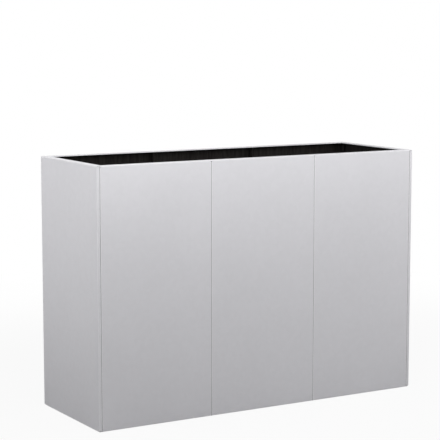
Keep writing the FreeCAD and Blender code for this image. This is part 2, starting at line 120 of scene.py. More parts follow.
class Bench:
    """Places and links the nodes of one shader tree."""

    def __init__(self, tree: bpy.types.ShaderNodeTree) -> None:
        """Starts work on a tree.

        Args:
            tree: The node tree of a material, a world or a node group.
        """
        self.tree = tree

    def add(self, kind: str, **settings: object) -> bpy.types.Node:
        """Places one node.

        Args:
            kind: The node's type without its ShaderNode prefix, or a full type name.
            settings: Properties to set on the node.

        Returns:
            The new node.
        """
        full_name = kind if kind.startswith("NodeGroup") else "ShaderNode" + kind
        node = self.tree.nodes.new(full_name)
        for key, value in settings.items():
            setattr(node, key, value)
        return node

    def feed(self, socket: bpy.types.NodeSocket, value: Feed) -> None:
        """Links a socket to another, or sets its value.

        Args:
            socket: The input socket.
            value: An output socket, or a number, a vector or an opaque colour.
        """
        if isinstance(value, bpy.types.NodeSocket):
            self.tree.links.new(value, socket)
        elif socket.type == "RGBA":
            socket.default_value = (*value, OPAQUE)
        else:
            socket.default_value = value

    def math(self, operation: str, *values: Feed) -> bpy.types.NodeSocket:
        """Works out one sum of numbers.

        Args:
            operation: The Math node's operation.
            values: Its inputs in order.

        Returns:
            The result's socket.
        """
        node = self.add("Math", operation=operation)
        for socket, value in zip(node.inputs, values):
            self.feed(socket, value)
        return node.outputs["Value"]

    def sway(self, value: Feed, middle: float, spread: float) -> bpy.types.NodeSocket:
        """Lets a number sway about its middle: middle + spread (value - 1/2).

        Args:
            value: A socket from 0 to 1.
            middle: The number at one half.
            spread: How far the number moves over the whole range, downwards where it is negative.

        Returns:
            The number's socket.
        """
        return self.math("MULTIPLY_ADD", value, spread, middle - spread / 2.0)

    def tone(self, value: Feed, contrast: Feed) -> bpy.types.NodeSocket:
        """Turns a value from 0 to 1 into a factor: 1 + contrast (2 value - 1).

        Args:
            value: A socket from 0 to 1.
            contrast: How far the factor may leave 1.

        Returns:
            The factor's socket.
        """
        return self.math("MULTIPLY_ADD", self.sway(value, 0.0, 2.0), contrast, 1.0)

    def ramp(
        self, value: Feed, start: float, end: float, low: float = 0.0, high: float = 1.0
    ) -> bpy.types.NodeSocket:
        """Carries a value smoothly from one level to another.

        Args:
            value: The number that is read.
            start: Where the low level ends.
            end: Where the high level begins.
            low: The level at the start.
            high: The level at the end.

        Returns:
            The level's socket.
        """
        node = self.add("MapRange", interpolation_type="SMOOTHSTEP")
        self.feed(node.inputs["Value"], value)
        levels = {"From Min": start, "From Max": end, "To Min": low, "To Max": high}
        for name, level in levels.items():
            self.feed(node.inputs[name], level)
        return node.outputs["Result"]

    def split(self, vector: Feed) -> bpy.types.NodeOutputs:
        """Takes a vector apart.

        Args:
            vector: The coordinates.

        Returns:
            The sockets of X, Y and Z.
        """
        node = self.add("SeparateXYZ")
        self.feed(node.inputs["Vector"], vector)
        return node.outputs

    def stretch(self, vector: Feed, scale: Feed) -> bpy.types.NodeSocket:
        """Multiplies a vector by another, one axis at a time.

        Args:
            vector: The coordinates.
            scale: The factor of each axis.

        Returns:
            The stretched coordinates' socket.
        """
        node = self.add("VectorMath", operation="MULTIPLY")
        self.feed(node.inputs[0], vector)
        self.feed(node.inputs[1], scale)
        return node.outputs["Vector"]

    def noise(
        self, vector: Feed, scale: Feed, layers: float = 2.0, layer_share: float = 0.5
    ) -> bpy.types.NodeSocket:
        """Reads a soft noise with values about one half.

        Args:
            vector: The coordinates in metres.
            scale: Patches per metre.
            layers: Number of finer layers.
            layer_share: Share that each finer layer adds.

        Returns:
            The noise value's socket.
        """
        node = self.add("TexNoise", noise_dimensions="3D")
        self.feed(node.inputs["Vector"], vector)
        self.feed(node.inputs["Scale"], scale)
        self.feed(node.inputs["Detail"], layers)
        self.feed(node.inputs["Roughness"], layer_share)
        return node.outputs["Fac"]

    def blend(self, share: Feed, first: Feed, second: Feed) -> bpy.types.NodeSocket:
        """Mixes two colours.

        Args:
            share: How much of the second colour shows.
            first: The colour at a share of 0.
            second: The colour at a share of 1.

        Returns:
            The mixed colour's socket.
        """
        node = self.add("Mix", data_type="RGBA")
        self.feed(node.inputs["Factor"], share)
        for number, colour in zip(COLOUR_MIX_INPUTS, (first, second)):
            self.feed(node.inputs[number], colour)
        return node.outputs[COLOUR_MIX_RESULT]

    def mix_shaders(
        self, share: Feed, first: bpy.types.NodeSocket, second: bpy.types.NodeSocket
    ) -> bpy.types.NodeSocket:
        """Mixes two shaders.

        Args:
            share: How much of the second shader shows.
            first: The shader at a share of 0.
            second: The shader at a share of 1.

        Returns:
            The mixed shader's socket.
        """
        node = self.add("MixShader")
        for socket, value in zip(node.inputs, (share, first, second)):
            self.feed(socket, value)
        return node.outputs["Shader"]

    def shade(self, colour: Feed, tone: Feed) -> bpy.types.NodeSocket:
        """Multiplies a colour by a tone.

        Args:
            colour: The colour.
            tone: The factor, near 1.

        Returns:
            The shaded colour's socket.
        """
        node = self.add("VectorMath", operation="SCALE")
        self.feed(node.inputs[0], colour)
        self.feed(node.inputs["Scale"], tone)
        return node.outputs["Vector"]

    def bump(
        self, height: Feed, reach: float, normal: bpy.types.NodeSocket | None = None
    ) -> bpy.types.NodeSocket:
        """Raises a relief.

        Args:
            height: The relief, from 0 to 1.
            reach: Its height in metres.
            normal: A relief that lies under this one.

        Returns:
            The normal's socket.
        """
        node = self.add("Bump")
        self.feed(node.inputs["Strength"], 1.0)
        self.feed(node.inputs["Distance"], reach)
        self.feed(node.inputs["Height"], height)
        if normal:
            self.feed(node.inputs["Normal"], normal)
        return node.outputs["Normal"]

    def group(self, tree: bpy.types.ShaderNodeTree, **values: Feed) -> bpy.types.NodeOutputs:
        """Places a node group with its own values.

        Args:
            tree: The group's tree.
            values: Its inputs, with spaces in their names written as underscores.

        Returns:
            The group's output sockets.
        """
        node = self.add("Group", node_tree=tree)
        for name, value in values.items():
            self.feed(node.inputs[name.replace("_", " ")], value)
        return node.outputs


def blank_material(name: str) -> tuple[bpy.types.Material, Bench]:
    """Makes a material whose tree is still Blender's own.

    Args:
        name: The material's name.

    Returns:
        The material and the bench of its tree.
    """
    made = bpy.data.materials.new(name)
    made.use_nodes = True
    return made, Bench(made.node_tree)


class EffectGroup:
    """A shader node group under construction, with its named inputs and outputs."""

    def __init__(self, name: str, inputs: dict[str, str], outputs: Sequence[str]) -> None:
        """Makes the group and its sockets.

        Args:
            name: The group's name.
            inputs: The kind of each input, Vector or Float, by its name.
            outputs: The names of the outputs, which are all numbers.
        """
        self.tree = bpy.data.node_groups.new(name, "ShaderNodeTree")
        for label, kind in inputs.items():
            self.tree.interface.new_socket(label, in_out="INPUT", socket_type="NodeSocket" + kind)
        for label in outputs:
            self.tree.interface.new_socket(label, in_out="OUTPUT", socket_type="NodeSocketFloat")
        self.bench = Bench(self.tree)
        self.inputs = self.bench.add("NodeGroupInput").outputs
        self.results = self.bench.add("NodeGroupOutput").inputs

    def give(self, label: str, value: bpy.types.NodeSocket) -> None:
        """Links a value to one of the group's outputs.

        Args:
            label: The output's name.
            value: The socket that holds it.
        """
        self.bench.feed(self.results[label], value)


@cache
def shell_group() -> bpy.types.ShaderNodeTree:
    """Places a point in the planter's box: how deep it lies, and how far from an edge.

    With a, b and c as the distances to the ends, to the long faces, and to the top or the ground, the
    depth is the smaller of a and b, and the edge distance is the middle one of the three.

    Returns:
        The group, which reads Object coordinates and half sizes in metres.
    """
    made = EffectGroup(
        "Planter Shell",
        {"Vector": "Vector", "Half Length": "Float", "Half Depth": "Float", "Height": "Float"},
        ("Depth", "Edge Distance", "Drop"),
    )
    bench, given = made.bench, made.inputs
    point = bench.split(given["Vector"])
    from_end = bench.math("SUBTRACT", given["Half Length"], bench.math("ABSOLUTE", point["X"]))
    from_face = bench.math("SUBTRACT", given["Half Depth"], bench.math("ABSOLUTE", point["Y"]))
    drop = bench.math("SUBTRACT", given["Height"], point["Z"])
    from_level = bench.math("MINIMUM", drop, point["Z"])
    depth = bench.math("MINIMUM", from_end, from_face)
    farther = bench.math("MAXIMUM", from_end, from_face)
    made.give("Depth", depth)
    made.give("Drop", drop)
    made.give("Edge Distance", bench.math("MAXIMUM", depth, bench.math("MINIMUM", farther, from_level)))
    return made.tree


@cache
def seam_group() -> bpy.types.ShaderNodeTree:
    """Measures how far a point lies along X from the nearest seam.

    The seams lie one panel pitch apart, half a pitch off the middle, so the distance is a triangle
    wave of X.

    Returns:
        The group, which reads Object coordinates and the pitch in metres.
    """
    made = EffectGroup("Seam Distance", {"Vector": "Vector", "Pitch": "Float"}, ("Distance",))
    bench, given = made.bench, made.inputs
    point = bench.split(given["Vector"])
    half_pitch = bench.math("DIVIDE", given["Pitch"], 2.0)
    from_seam = bench.math("ADD", point["X"], half_pitch)
    made.give("Distance", bench.math("PINGPONG", from_seam, half_pitch))
    return made.tree


@cache
def spangle_group() -> bpy.types.ShaderNodeTree:
    """Breaks the zinc into frozen crystals: cells with ragged borders, each a little lighter or darker.

    Returns:
        The group, whose Tone is 1 plus or minus the contrast, and whose Facet is from 0 to 1.
    """
    ripples_per_cell = 3.0
    ripple_reach = 0.6
    made = EffectGroup(
        "Zinc Spangle",
        {"Vector": "Vector", "Cells Per Metre": "Float", "Contrast": "Float"},
        ("Tone", "Facet"),
    )
    bench, given = made.bench, made.inputs
    ragged = bench.add("TexNoise", noise_dimensions="3D")
    bench.feed(ragged.inputs["Vector"], given["Vector"])
    bench.feed(ragged.inputs["Scale"], bench.math("MULTIPLY", given["Cells Per Metre"], ripples_per_cell))
    push = bench.add("VectorMath", operation="SCALE")
    bench.feed(push.inputs[0], ragged.outputs["Color"])
    bench.feed(push.inputs["Scale"], bench.math("DIVIDE", ripple_reach, given["Cells Per Metre"]))
    moved = bench.add("VectorMath", operation="ADD")
    bench.feed(moved.inputs[0], given["Vector"])
    bench.feed(moved.inputs[1], push.outputs["Vector"])
    cells = bench.add("TexVoronoi", feature="F1", voronoi_dimensions="3D")
    bench.feed(cells.inputs["Vector"], moved.outputs["Vector"])
    bench.feed(cells.inputs["Scale"], given["Cells Per Metre"])
    shares = bench.add("SeparateColor")
    bench.feed(shares.inputs["Color"], cells.outputs["Color"])
    made.give("Tone", bench.tone(shares.outputs["Red"], given["Contrast"]))
    made.give("Facet", shares.outputs["Green"])
    return made.tree


@cache
def rolling_group() -> bpy.types.ShaderNodeTree:
    """Draws the faint lines that the rolls leave along the sheet, which run up and down the panels.

    Returns:
        The group, whose Tone is 1 plus or minus the contrast and whose Line is from 0 to 1.
    """
    drawn_out = (1.0, 1.0, 0.015)
    layers = 3.0
    layer_share = 0.65
    made = EffectGroup(
        "Rolling Lines",
        {"Vector": "Vector", "Lines Per Metre": "Float", "Contrast": "Float"},
        ("Tone", "Line"),
    )
    bench, given = made.bench, made.inputs
    along = bench.stretch(given["Vector"], drawn_out)
    line = bench.noise(along, given["Lines Per Metre"], layers, layer_share)
    made.give("Tone", bench.tone(line, given["Contrast"]))
    made.give("Line", line)
    return made.tree


@cache
def cloud_group() -> bpy.types.ShaderNodeTree:
    """Lays broad, soft patches over a surface, as handling and weather leave on zinc.

    Returns:
        The group, whose Tone is 1 plus or minus the contrast and whose Patch is from 0 to 1.
    """
    layers = 4.0
    layer_share = 0.55
    made = EffectGroup(
        "Soft Clouds",
        {"Vector": "Vector", "Patches Per Metre": "Float", "Contrast": "Float"},
        ("Tone", "Patch"),
    )
    bench, given = made.bench, made.inputs
    patch = bench.noise(given["Vector"], given["Patches Per Metre"], layers, layer_share)
    made.give("Tone", bench.tone(patch, given["Contrast"]))
    made.give("Patch", patch)
    return made.tree


# Finishes

@dataclass(frozen=True)
class Covering:
    """What a finish feeds to its shader: a colour, a roughness and a share of metal."""

    colour: bpy.types.NodeSocket
    roughness: bpy.types.NodeSocket
    metal: bpy.types.NodeSocket


@dataclass(frozen=True)
class PaintedInsideShade:
    """Near-black painted shade laid inside the planter, under the rim, where the inside is in shade, with
    faint streaks.
    """

    colour: Colour = (0.0175, 0.016, 0.0152)
    streak_colour: Colour = (0.031, 0.0285, 0.027)
    roughness: float = 0.62
    streak_gloss: float = 0.2
    streaks_per_metre: float = 110.0
    streak_run: float = 0.12
    streak_layers: float = 4.0
    streak_layer_share: float = 0.7
    streak_range: tuple[float, float] = (0.35, 0.7)
    starts_deep: float = 0.5 * MILLIMETRE
    starts_below_rim: float = 2.6 * MILLIMETRE
    starts_above_ground: float = 0.5 * MILLIMETRE
    border: float = 0.15 * MILLIMETRE

    def shade_inside(
        self, bench: Bench, place: bpy.types.NodeSocket, where: bpy.types.NodeOutputs, zinc: Covering
    ) -> Covering:
        """Lays the painted shade over the zinc on the inside of the planter.

        The painted shade shows where a point is deep enough under the outer faces, the rim and the ground,
        and its streaks are a noise that is drawn out along Z.

        Args:
            bench: The material's bench.
            place: Object coordinates.
            where: The outputs of the shell group.
            zinc: The bare zinc.

        Returns:
            The zinc with the painted shade on.
        """
        height = bench.split(place)["Z"]
        inside = bench.math(
            "MULTIPLY",
            bench.ramp(where["Depth"], self.starts_deep, self.starts_deep + self.border),
            bench.ramp(where["Drop"], self.starts_below_rim, self.starts_below_rim + self.border),
        )
        raised = bench.ramp(height, self.starts_above_ground, self.starts_above_ground + self.border)
        inside = bench.math("MULTIPLY", inside, raised)
        bare = bench.math("SUBTRACT", 1.0, inside)
        along = bench.stretch(place, (1.0, 1.0, self.streak_run))
        shade_streaks = bench.noise(along, self.streaks_per_metre, self.streak_layers, self.streak_layer_share)
        # Painted shade: a near-black colour with faint streaks stands in for the shade inside the planter.
        painted_shade_colour = bench.blend(bench.ramp(shade_streaks, *self.streak_range), self.colour, self.streak_colour)
        gloss = bench.sway(shade_streaks, self.roughness, -self.streak_gloss)
        roughness = bench.math(
            "ADD", bench.math("MULTIPLY", zinc.roughness, bare), bench.math("MULTIPLY", gloss, inside)
        )
        return Covering(
            colour=bench.blend(inside, zinc.colour, painted_shade_colour),
            roughness=roughness,
            metal=bench.math("MULTIPLY", zinc.metal, bare),
        )


@dataclass(frozen=True)
class GalvanisedFinish:
    """Satin hot-dip zinc on steel, with crystals, rolling lines, clouds, rubbed edges that are also
    lightened as a painted highlight, and painted highlights on the seam bends.
    """

    name: str
    zinc: Colour = (0.602, 0.598, 0.621)
    # Partly rubbed wear and partly painted highlight on the edges.
    bright_zinc: Colour = (0.742, 0.737, 0.762)
    # Painted highlight of the seam bends.
    bend_highlight_zinc: Colour = (0.88, 0.874, 0.897)
    metal_share: float = 0.37
    line_metal: float = 0.04
    specular: float = 0.0
    roughness: float = 0.40
    crystal_roughness: float = 0.05
    patch_roughness: float = 0.08
    cells_per_metre: float = 75.0
    cell_contrast: float = 0.010
    lines_per_metre: float = 420.0
    line_contrast: float = 0.010
    patches_per_metre: float = 3.2
    patch_contrast: float = 0.030
    edge_width: float = 3.0 * MILLIMETRE
    edge_share: float = 0.5
    bend_highlight_width: float = 2.6 * MILLIMETRE
    wave_height: float = 0.25 * MILLIMETRE
    waves_per_metre: float = 2.4
    wave_layers: float = 1.0
    grain_height: float = 0.01 * MILLIMETRE
    # Painted shade inside the planter, where given.
    inside_shade: PaintedInsideShade | None = None

    def material(self, shell: "Shell") -> bpy.types.Material:
        """Builds the material.

        Args:
            shell: The planter's outer sizes, which place its edges, seams and inside.

        Returns:
            The finished material.
        """
        made, bench = blank_material(self.name)
        place = bench.add("TexCoord").outputs["Object"]
        rolling = bench.group(
            rolling_group(), Vector=place, Lines_Per_Metre=self.lines_per_metre, Contrast=self.line_contrast
        )
        where = shell.measure(bench, place)
        seams = bench.group(seam_group(), Vector=place, Pitch=shell.panel_pitch)
        covering = self.zinc_layer(bench, place, rolling, where, seams)
        # Painted shade darkens the inside of the planter.
        if self.inside_shade:
            covering = self.inside_shade.shade_inside(bench, place, where, covering)
        skin = made.node_tree.nodes["Principled BSDF"].inputs
        bench.feed(skin["Base Color"], covering.colour)
        bench.feed(skin["Roughness"], covering.roughness)
        bench.feed(skin["Metallic"], covering.metal)
        bench.feed(skin["Normal"], self.relief(bench, place, rolling["Line"]))
        bench.feed(skin["Specular IOR Level"], self.specular)
        return made

    def zinc_layer(
        self,
        bench: Bench,
        place: bpy.types.NodeSocket,
        rolling: bpy.types.NodeOutputs,
        where: bpy.types.NodeOutputs,
        seams: bpy.types.NodeOutputs,
    ) -> Covering:
        """Works out the bare zinc, with painted highlights on its edges and seam bends.

        Args:
            bench: The material's bench.
            place: Object coordinates.
            rolling: The outputs of the rolling lines.
            where: The outputs of the shell group.
            seams: The outputs of the seam group.

        Returns:
            The zinc's colour, roughness and share of metal.
        """
        spangle = bench.group(
            spangle_group(), Vector=place, Cells_Per_Metre=self.cells_per_metre, Contrast=self.cell_contrast
        )
        clouds = bench.group(
            cloud_group(),
            Vector=place,
            Patches_Per_Metre=self.patches_per_metre,
            Contrast=self.patch_contrast,
        )
        tone = bench.math("MULTIPLY", spangle["Tone"], rolling["Tone"])
        tone = bench.math("MULTIPLY", tone, clouds["Tone"])
        edge = bench.math("MINIMUM", where["Edge Distance"], seams["Distance"])
        # Partly wear and partly painted highlight: the zinc is lighter within a few millimetres of the rim,
        # the foot, the corners and the seams.
        rub_and_highlight = bench.ramp(edge, 0.0, self.edge_width, self.edge_share, 0.0)
        # Painted highlight: the zinc turns much lighter within a few millimetres of each seam, where the
        # bends catch light.
        bend_highlight = bench.ramp(seams["Distance"], 0.0, self.bend_highlight_width, 1.0, 0.0)
        colour = bench.blend(rub_and_highlight, self.zinc, self.bright_zinc)
        colour = bench.blend(bend_highlight, colour, self.bend_highlight_zinc)
        crystals = bench.sway(spangle["Facet"], self.roughness, self.crystal_roughness)
        return Covering(
            colour=bench.shade(colour, tone),
            roughness=bench.math("ADD", crystals, bench.sway(clouds["Patch"], 0.0, self.patch_roughness)),
            metal=bench.sway(rolling["Line"], self.metal_share, self.line_metal),
        )

    def relief(
        self, bench: Bench, place: bpy.types.NodeSocket, line: bpy.types.NodeSocket
    ) -> bpy.types.NodeSocket:
        """Raises the slow waves of thin sheet and the fine grain of the rolled zinc.

        Args:
            bench: The material's bench.
            place: Object coordinates.
            line: The rolling lines, from 0 to 1.

        Returns:
            The normal's socket.
        """
        slow = bench.noise(place, self.waves_per_metre, self.wave_layers)
        waves = bench.bump(slow, self.wave_height)
        return bench.bump(line, self.grain_height, waves)


@dataclass(frozen=True)
class ZincPlateFinish:
    """Bright, faintly blue zinc plate of small machined fasteners, with fine rubs and duller patches."""

    name: str
    zinc: Colour = (0.66, 0.675, 0.70)
    dull_zinc: Colour = (0.45, 0.455, 0.46)
    metal_share: float = 0.9
    dull_metal_share: float = 0.8
    roughness: float = 0.28
    dull_roughness: float = 0.46
    patches_per_metre: float = 180.0
    patch_contrast: float = 0.08
    dull_range: tuple[float, float] = (0.45, 0.7)
    rubs_per_metre: float = 900.0
    rub_layers: float = 3.0
    rub_layer_share: float = 0.7
    rub_height: float = 0.015 * MILLIMETRE

    def material(self) -> bpy.types.Material:
        """Builds the material."""
        made, bench = blank_material(self.name)
        place = bench.add("TexCoord").outputs["Object"]
        clouds = bench.group(
            cloud_group(),
            Vector=place,
            Patches_Per_Metre=self.patches_per_metre,
            Contrast=self.patch_contrast,
        )
        dulled = bench.blend(bench.ramp(clouds["Patch"], *self.dull_range), self.zinc, self.dull_zinc)
        rub = bench.noise(place, self.rubs_per_metre, self.rub_layers, self.rub_layer_share)
        skin = made.node_tree.nodes["Principled BSDF"].inputs
        bench.feed(skin["Base Color"], bench.shade(dulled, clouds["Tone"]))
        for label, bright, dull in (
            ("Roughness", self.roughness, self.dull_roughness),
            ("Metallic", self.metal_share, self.dull_metal_share),
        ):
            bench.feed(skin[label], bench.ramp(clouds["Patch"], *self.dull_range, bright, dull))
        bench.feed(skin["Normal"], bench.bump(rub, self.rub_height))
        return made


# Surfaces

def around(count: int) -> np.ndarray:
    """Angles of the points of one ring, which start on a corner of a hexagon with level flats.

    Args:
        count: Number of points, a multiple of six, so that each corner has a point.

    Returns:
        The angles in radians, from 0 along Y towards Z.
    """
    return np.arange(count) * (math.tau / count)


def hexagon_radius(angles: np.ndarray, flats: float) -> np.ndarray:
    """Radius of a hexagon: half the flats over the cosine of the angle from the nearest flat's middle.

    Args:
        angles: Directions in radians, where 0 is a corner.
        flats: Width across the flats.

    Returns:
        The radius in each direction.
    """
    from_flat = np.mod(angles, HEXAGON_STEP) - HEXAGON_STEP / 2.0
    return flats / 2.0 / np.cos(from_flat)


def thread_radius(along: np.ndarray, angles: np.ndarray, thread: "Thread") -> np.ndarray:
    """Radius of a right-hand thread: a triangle wave of the place along X less the turn round it.

    Args:
        along: Places along X, one for each ring.
        angles: Directions in radians, one for each point of a ring.
        thread: The thread's sizes.

    Returns:
        The radius at each ring and point.
    """
    turns = along[:, None] / thread.pitch - angles[None, :] / math.tau
    ridge = 1.0 - 2.0 * np.abs(np.mod(turns, 1.0) - 0.5)
    return thread.root_radius + (thread.crest_radius - thread.root_radius) * ridge


def ring_faces(rings: int, count: int, closed: bool) -> np.ndarray:
    """Quads between rings of points, wound so that they face outwards when the rings go up X.

    Args:
        rings: Number of rings.
        count: Points in each ring.
        closed: Whether the last ring joins the first.

    Returns:
        An array of four point numbers for each face.
    """
    lower = np.arange(rings if closed else rings - 1)[:, None]
    upper = np.mod(lower + 1, rings)
    here = np.arange(count)[None, :]
    beside = np.mod(here + 1, count)
    corners = (
        lower * count + here,
        lower * count + beside,
        upper * count + beside,
        upper * count + here,
    )
    return np.stack(np.broadcast_arrays(*corners), axis=-1).reshape(-1, len(corners))


@dataclass(frozen=True)
class TurnedForm:
    """A closed form about an axis along X: rings of points, each at its own place and radius."""

    along: np.ndarray
    radius: np.ndarray
    angles: np.ndarray
    hollow: bool

    def points(self) -> np.ndarray:
        """Points of all rings: X is the place along the axis, Y and Z are the radius times cosine and sine.

        Returns:
            The points, with the two poles after the rings where the form isn't hollow.
        """
        along = np.broadcast_to(self.along, self.radius.shape)
        grid = np.stack(
            (along, self.radius * np.cos(self.angles), self.radius * np.sin(self.angles)), axis=-1
        ).reshape(-1, 3)
        if self.hollow:
            return grid
        poles = np.array([[along[0, 0], 0.0, 0.0], [along[-1, 0], 0.0, 0.0]])
        return np.concatenate((grid, poles))

    def faces(self) -> list[list[int]]:
        """Quads between the rings, and a fan of triangles round each pole where the form isn't hollow.

        Returns:
            The point numbers of each face.
        """
        rings, count = self.radius.shape
        quads = ring_faces(rings, count, self.hollow).tolist()
        if self.hollow:
            return quads
        here = np.arange(count)
        beside = np.mod(here + 1, count)
        first_pole = np.full(count, rings * count)
        top = (rings - 1) * count
        first_fan = np.stack((first_pole, beside, here), axis=-1)
        last_fan = np.stack((first_pole + 1, top + here, top + beside), axis=-1)
        return quads + first_fan.tolist() + last_fan.tolist()


def linked_object(name: str, data: bpy.types.ID) -> bpy.types.Object:
    """Makes an object and links it to the scene.

    Args:
        name: The object's name.
        data: Its mesh, lamp or camera.

    Returns:
        The object.
    """
    made = bpy.data.objects.new(name, data)
    bpy.context.scene.collection.objects.link(made)
    return made


def mesh_object(name: str, forms: Iterable[tuple[np.ndarray, list[list[int]]]]) -> bpy.types.Object:
    """Makes one object of several separate forms, with its origin at the frame's origin.

    Args:
        name: The object's name.
        forms: Points and faces of each form.

    Returns:
        The object, linked to the scene.
    """
    points: list[np.ndarray] = []
    faces: list[list[int]] = []
    first = 0
    for form_points, form_faces in forms:
        points.append(form_points)
        faces += [[first + number for number in face] for face in form_faces]
        first += len(form_points)
    mesh = bpy.data.meshes.new(name)
    mesh.from_pydata(np.concatenate(points).tolist(), [], faces)
    mesh.validate()
    mesh.shade_smooth()
    mesh.set_sharp_from_angle(angle=SHARP_ANGLE)
    return linked_object(name, mesh)


# Sub-assemblies

@dataclass(frozen=True)
class Shell:
    """Outer sizes of the planter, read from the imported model."""

    half_length: float
    half_depth: float
    height: float
    panel_pitch: float

    @classmethod
    def from_frame(cls) -> "Shell":
        """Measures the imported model."""
        low, high = CAD_BOX
        panel_low, panel_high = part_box("front_panel_centre")
        return cls(
            half_length=(high.x - low.x) / 2.0,
            half_depth=(high.y - low.y) / 2.0,
            height=high.z - low.z,
            panel_pitch=panel_high.x - panel_low.x,
        )

    def measure(self, bench: Bench, place: bpy.types.NodeSocket) -> bpy.types.NodeOutputs:
        """Tells a material where a point lies in the planter's box.

        Args:
            bench: The material's bench.
            place: Object coordinates.

        Returns:
            The outputs of the shell group.
        """
        return bench.group(
            shell_group(),
            Vector=place,
            Half_Length=self.half_length,
            Half_Depth=self.half_depth,
            Height=self.height,
        )


@dataclass(frozen=True)
class CarriedPieces:
    """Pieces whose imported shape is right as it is, and which take a finish."""

    label: str
    nodes: Sequence[str]
    slot: Slot

    def dress(self, material: bpy.types.Material) -> None:
        """Gives every piece the material.

        Args:
            material: The finish of these pieces.
        """
        for node in self.nodes:
            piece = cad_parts[node]
            for slot in piece.material_slots:
                slot.material = material
        log.info("%s: %d pieces dressed in %s", self.label, len(self.nodes), material.name)


@dataclass(frozen=True)
class Thread:
    """Coarse M6 thread."""

    pitch: float = 1.0 * MILLIMETRE
    crest_radius: float = 2.97 * MILLIMETRE
    root_radius: float = 2.46 * MILLIMETRE
    rings_per_turn: int = 6

    def places(self, start: float, end: float) -> np.ndarray:
        """Places of the rings between two points along X.

        Args:
            start: The first place.
            end: The last place.

        Returns:
            Evenly spaced places, both ends included.
        """
        count = round(abs(end - start) / self.pitch * self.rings_per_turn) + 1
        return np.linspace(start, end, count)


@dataclass(frozen=True)
class SeamFasteners:
    """The bolts and weld nuts of one seam of one long face, one above another."""

    face: str
    seam: Seam
    thread: Thread
    row_count: int = 3
    points_round: int = 24
    head_flats: float = 10.0 * MILLIMETRE
    head_height: float = 4.0 * MILLIMETRE
    washer_height: float = 0.3 * MILLIMETRE
    washer_share: float = 0.94
    crown_share: float = 0.93
    chamfer_slope: float = math.tan(math.radians(30.0))
    end_chamfer: float = 0.7 * MILLIMETRE
    nut_flats: float = 11.0 * MILLIMETRE
    bore_clearance: float = 0.05 * MILLIMETRE
    bore_chamfer: float = 0.45 * MILLIMETRE
    weld_flare: float = 0.35 * MILLIMETRE
    weld_height: float = 0.5 * MILLIMETRE

    @property
    def bolts_node(self) -> str:
        """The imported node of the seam's bolts."""
        return f"{self.face}_bolts_{self.seam.word}"

    @property
    def nuts_node(self) -> str:
        """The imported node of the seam's weld nuts."""
        return f"{self.face}_nuts_{self.seam.word}"

    @property
    def angles(self) -> np.ndarray:
        """Directions of the points of one ring."""
        return around(self.points_round)

    def span(self, node: str) -> tuple[float, float]:
        """X of a node's near and far end, in the order in which the bolts point.

        Args:
            node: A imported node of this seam.

        Returns:
            The near and the far end.
        """
        low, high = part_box(node)
        return (low.x, high.x) if self.seam.way > 0 else (high.x, low.x)

    def axes(self) -> list[tuple[float, float]]:
        """Y and Z of each bolt, from the lowest up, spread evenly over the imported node."""
        low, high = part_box(self.bolts_node)
        half = self.head_flats / 2.0
        middle = (low.y + high.y) / 2.0
        return [(middle, level) for level in np.linspace(low.z + half, high.z - half, self.row_count)]

    def bar_under(self, level: float) -> float:
        """Thickness of the tie bar that the bolts of a level hold at this seam, or 0 where they hold none.

        Args:
            level: Height of a bolt.

        Returns:
            The thickness along X.
        """
        head, tip = self.span(self.bolts_node)
        for bar in TIE_BARS:
            low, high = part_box(bar)
            middle = (low.x + high.x) / 2.0
            if low.z < level < high.z and min(head, tip) < middle < max(head, tip):
                return high.x - low.x
        return 0.0

    def bolt(self, seat: float, length: float) -> TurnedForm:
        """One bolt, from the crown of its head to the tip of its shank.

        The head's chamfer rises with the hexagon's radius past the crown's circle, and the shank's radius
        is the thread's, held inside a cone at the tip.

        Args:
            seat: X of the underside of the head.
            length: Length of the shank.

        Returns:
            The bolt about the X axis.
        """
        hexagon = hexagon_radius(self.angles, self.head_flats)
        circle = np.ones(self.points_round)
        crown = self.crown_share * self.head_flats / 2.0
        washer = self.washer_share * self.head_flats / 2.0
        shank = self.thread.places(0.0, length)
        cone = self.thread.root_radius - self.end_chamfer / 2.0 + (length - shank)
        ridged = thread_radius(seat + self.seam.way * shank, self.angles, self.thread)
        along = np.vstack((
            -self.head_height * circle,
            -self.head_height + (hexagon - crown) * self.chamfer_slope,
            -self.washer_height * circle,
            -self.washer_height * circle,
            0.0 * circle,
            shank[:, None] * circle,
        ))
        radius = np.vstack((
            crown * circle,
            hexagon,
            hexagon,
            washer * circle,
            washer * circle,
            np.minimum(ridged, cone[:, None]),
        ))
        return self.turned(seat, along, radius, hollow=False)

    def nut(self, seat: float, height: float) -> TurnedForm:
        """One weld nut, round its section from the weld up the hexagon and back down the bore.

        The hexagon flares out into the weld at its foot, and the bore's radius is the bolt's thread with a
        clearance, opened by a cone at its mouth.

        Args:
            seat: X of the welded face.
            height: Height of the nut.

        Returns:
            The nut about the X axis.
        """
        hexagon = hexagon_radius(self.angles, self.nut_flats)
        circle = np.ones(self.points_round)
        crown = self.crown_share * self.nut_flats / 2.0
        mouth = self.thread.crest_radius + self.bore_chamfer
        bore = self.thread.places(height, 0.0)
        ridged = thread_radius(seat + self.seam.way * bore, self.angles, self.thread)
        cone = mouth - (height - bore)
        along = np.vstack((
            0.0 * circle,
            self.weld_height * circle,
            height - (hexagon - crown) * self.chamfer_slope,
            height * circle,
            bore[:, None] * circle,
        ))
        radius = np.vstack((
            hexagon + self.weld_flare,
            hexagon,
            hexagon,
            crown * circle,
            np.maximum(ridged + self.bore_clearance, cone[:, None]),
        ))
        return self.turned(seat, along, radius, hollow=True)

    def turned(self, seat: float, along: np.ndarray, radius: np.ndarray, hollow: bool) -> TurnedForm:
        """Sets a form against its seat, with its rings in the order that keeps its faces outwards.

        Args:
            seat: X of the seat.
            along: Distance of each point from the seat, along the bolt.
            radius: Radius of each point.
            hollow: Whether the form closes on itself round a bore.

        Returns:
            The form.
        """
        order = self.seam.way
        placed = seat + self.seam.way * along
        return TurnedForm(placed[::order], radius[::order], self.angles, hollow)

